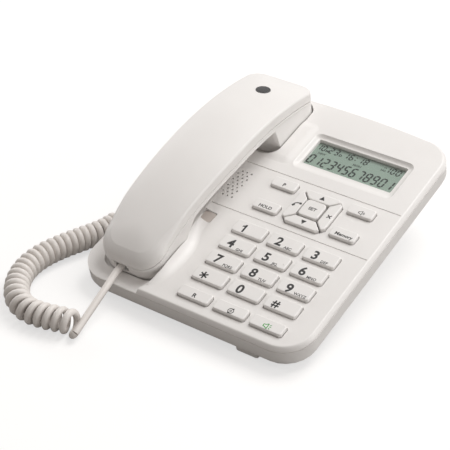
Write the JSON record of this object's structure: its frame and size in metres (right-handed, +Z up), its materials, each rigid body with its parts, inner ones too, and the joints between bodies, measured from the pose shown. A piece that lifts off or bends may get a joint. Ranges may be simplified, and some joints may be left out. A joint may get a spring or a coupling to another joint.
{
  "type": "corded desk telephone",
  "caption": "Corded desk telephone with a sloping base, a long curved handset in its cradle, a caller display, push keys and a curly handset cord.",
  "frame": {"origin": "on the table, under the middle of the base", "axes": "+Z up, +Y to the back of the telephone, +X to its right; the deck rises to the back by 12.2 degrees"},
  "size_m": [0.1957, 0.242, 0.0767],
  "materials": {
    "shell_white": "off-white semi-gloss moulded plastic",
    "key_white": "off-white moulded key plastic with dark grey print",
    "cord_white": "off-white flexible vinyl cord jacket",
    "lamp_pink": "translucent beige lamp window",
    "clear_plastic": "clear plastic",
    "display_green": "grey-green reflective segment display",
    "badge_grey": "plain dark grey inlay",
    "foot_rubber": "soft grey rubber",
    "membrane_grey": "silicone rubber key mat",
    "board_green": "green lacquered circuit board",
    "dark_plastic": "black moulded plastic",
    "zinc_steel": "zinc-plated steel"
  },
  "bodies": {
    "base": {"upper_shell": "shell_white", "lower_shell": "shell_white", "foot_front_left": "foot_rubber", "foot_front_right": "foot_rubber", "foot_back_left": "foot_rubber", "foot_back_right": "foot_rubber", "base_screw_1": "zinc_steel", "base_screw_2": "zinc_steel", "base_screw_3": "zinc_steel", "base_screw_4": "zinc_steel", "keypad_membrane": "membrane_grey", "keypad_board": "board_green", "main_board": "board_green", "lcd_window": "clear_plastic", "lcd_panel": "display_green", "lcd_frame": "dark_plastic", "message_lamp_window": "lamp_pink", "loudspeaker": "dark_plastic", "hook_switch": "dark_plastic", "line_jack": "dark_plastic", "handset_cord_jack": "dark_plastic", "handsfree_microphone": "dark_plastic", "base_plug": "clear_plastic", "base_lead": "cord_white", "handset_coil": "cord_white", "handset_lead": "cord_white"},
    "handset": {"handset_outer_shell": "shell_white", "handset_inner_shell": "shell_white", "handset_screw": "zinc_steel", "handset_jack": "dark_plastic", "receiver_capsule": "dark_plastic", "microphone_capsule": "dark_plastic", "handset_weight": "zinc_steel", "handset_badge": "badge_grey", "handset_plug": "clear_plastic"},
    "hook": {"hook_plunger": "shell_white"},
    "key_1": {"key_1": "key_white"},
    "key_2": {"key_2": "key_white"},
    "key_3": {"key_3": "key_white"},
    "key_4": {"key_4": "key_white"},
    "key_5": {"key_5": "key_white"},
    "key_6": {"key_6": "key_white"},
    "key_7": {"key_7": "key_white"},
    "key_8": {"key_8": "key_white"},
    "key_9": {"key_9": "key_white"},
    "key_star": {"key_star": "key_white"},
    "key_0": {"key_0": "key_white"},
    "key_hash": {"key_hash": "key_white"},
    "key_flash": {"key_flash": "key_white"},
    "key_redial": {"key_redial": "key_white"},
    "key_speaker": {"key_speaker": "key_white"},
    "key_p": {"key_p": "key_white"},
    "key_hold": {"key_hold": "key_white"},
    "key_volume": {"key_volume": "key_white"},
    "key_memory": {"key_memory": "key_white"},
    "key_up": {"key_up": "key_white"},
    "key_down": {"key_down": "key_white"},
    "key_right": {"key_right": "key_white"},
    "key_left": {"key_left": "key_white"},
    "key_set": {"key_set": "key_white"}
  },
  "joints": [
    {"name": "handset_lift", "type": "slide", "parent": "base", "child": "handset", "axis": [0, -0.2108, 0.9775], "range_m": [0, 0.05]},
    {"name": "hook_release", "type": "slide", "parent": "base", "child": "hook", "axis": [0, -0.2108, 0.9775], "range_m": [0, 0.004]},
    {"name": "key_1_press", "type": "slide", "parent": "base", "child": "key_1", "axis": [0, 0.2108, -0.9775], "range_m": [0, 0.0012], "stiffness_N_per_m": 300},
    {"name": "key_2_press", "type": "slide", "parent": "base", "child": "key_2", "axis": [0, 0.2108, -0.9775], "range_m": [0, 0.0012], "stiffness_N_per_m": 300},
    {"name": "key_3_press", "type": "slide", "parent": "base", "child": "key_3", "axis": [0, 0.2108, -0.9775], "range_m": [0, 0.0012], "stiffness_N_per_m": 300},
    {"name": "key_4_press", "type": "slide", "parent": "base", "child": "key_4", "axis": [0, 0.2108, -0.9775], "range_m": [0, 0.0012], "stiffness_N_per_m": 300},
    {"name": "key_5_press", "type": "slide", "parent": "base", "child": "key_5", "axis": [0, 0.2108, -0.9775], "range_m": [0, 0.0012], "stiffness_N_per_m": 300},
    {"name": "key_6_press", "type": "slide", "parent": "base", "child": "key_6", "axis": [0, 0.2108, -0.9775], "range_m": [0, 0.0012], "stiffness_N_per_m": 300},
    {"name": "key_7_press", "type": "slide", "parent": "base", "child": "key_7", "axis": [0, 0.2108, -0.9775], "range_m": [0, 0.0012], "stiffness_N_per_m": 300},
    {"name": "key_8_press", "type": "slide", "parent": "base", "child": "key_8", "axis": [0, 0.2108, -0.9775], "range_m": [0, 0.0012], "stiffness_N_per_m": 300},
    {"name": "key_9_press", "type": "slide", "parent": "base", "child": "key_9", "axis": [0, 0.2108, -0.9775], "range_m": [0, 0.0012], "stiffness_N_per_m": 300},
    {"name": "key_star_press", "type": "slide", "parent": "base", "child": "key_star", "axis": [0, 0.2108, -0.9775], "range_m": [0, 0.0012], "stiffness_N_per_m": 300},
    {"name": "key_0_press", "type": "slide", "parent": "base", "child": "key_0", "axis": [0, 0.2108, -0.9775], "range_m": [0, 0.0012], "stiffness_N_per_m": 300},
    {"name": "key_hash_press", "type": "slide", "parent": "base", "child": "key_hash", "axis": [0, 0.2108, -0.9775], "range_m": [0, 0.0012], "stiffness_N_per_m": 300},
    {"name": "key_flash_press", "type": "slide", "parent": "base", "child": "key_flash", "axis": [0, 0.2108, -0.9775], "range_m": [0, 0.0012], "stiffness_N_per_m": 300},
    {"name": "key_redial_press", "type": "slide", "parent": "base", "child": "key_redial", "axis": [0, 0.2108, -0.9775], "range_m": [0, 0.0012], "stiffness_N_per_m": 300},
    {"name": "key_speaker_press", "type": "slide", "parent": "base", "child": "key_speaker", "axis": [0, 0.2108, -0.9775], "range_m": [0, 0.0012], "stiffness_N_per_m": 300},
    {"name": "key_p_press", "type": "slide", "parent": "base", "child": "key_p", "axis": [0, 0.2108, -0.9775], "range_m": [0, 0.0012], "stiffness_N_per_m": 300},
    {"name": "key_hold_press", "type": "slide", "parent": "base", "child": "key_hold", "axis": [0, 0.2108, -0.9775], "range_m": [0, 0.0012], "stiffness_N_per_m": 300},
    {"name": "key_volume_press", "type": "slide", "parent": "base", "child": "key_volume", "axis": [0, 0.2108, -0.9775], "range_m": [0, 0.0012], "stiffness_N_per_m": 300},
    {"name": "key_memory_press", "type": "slide", "parent": "base", "child": "key_memory", "axis": [0, 0.2108, -0.9775], "range_m": [0, 0.0012], "stiffness_N_per_m": 300},
    {"name": "key_up_press", "type": "slide", "parent": "base", "child": "key_up", "axis": [0, 0.2108, -0.9775], "range_m": [0, 0.0012], "stiffness_N_per_m": 300},
    {"name": "key_down_press", "type": "slide", "parent": "base", "child": "key_down", "axis": [0, 0.2108, -0.9775], "range_m": [0, 0.0012], "stiffness_N_per_m": 300},
    {"name": "key_right_press", "type": "slide", "parent": "base", "child": "key_right", "axis": [0, 0.2108, -0.9775], "range_m": [0, 0.0012], "stiffness_N_per_m": 300},
    {"name": "key_left_press", "type": "slide", "parent": "base", "child": "key_left", "axis": [0, 0.2108, -0.9775], "range_m": [0, 0.0012], "stiffness_N_per_m": 300},
    {"name": "key_set_press", "type": "slide", "parent": "base", "child": "key_set", "axis": [0, 0.2108, -0.9775], "range_m": [0, 0.0012], "stiffness_N_per_m": 300}
  ],
  "couplings": [
    {"joint": "hook_release", "follows": "handset_lift", "ratio": 0.08}
  ]
}
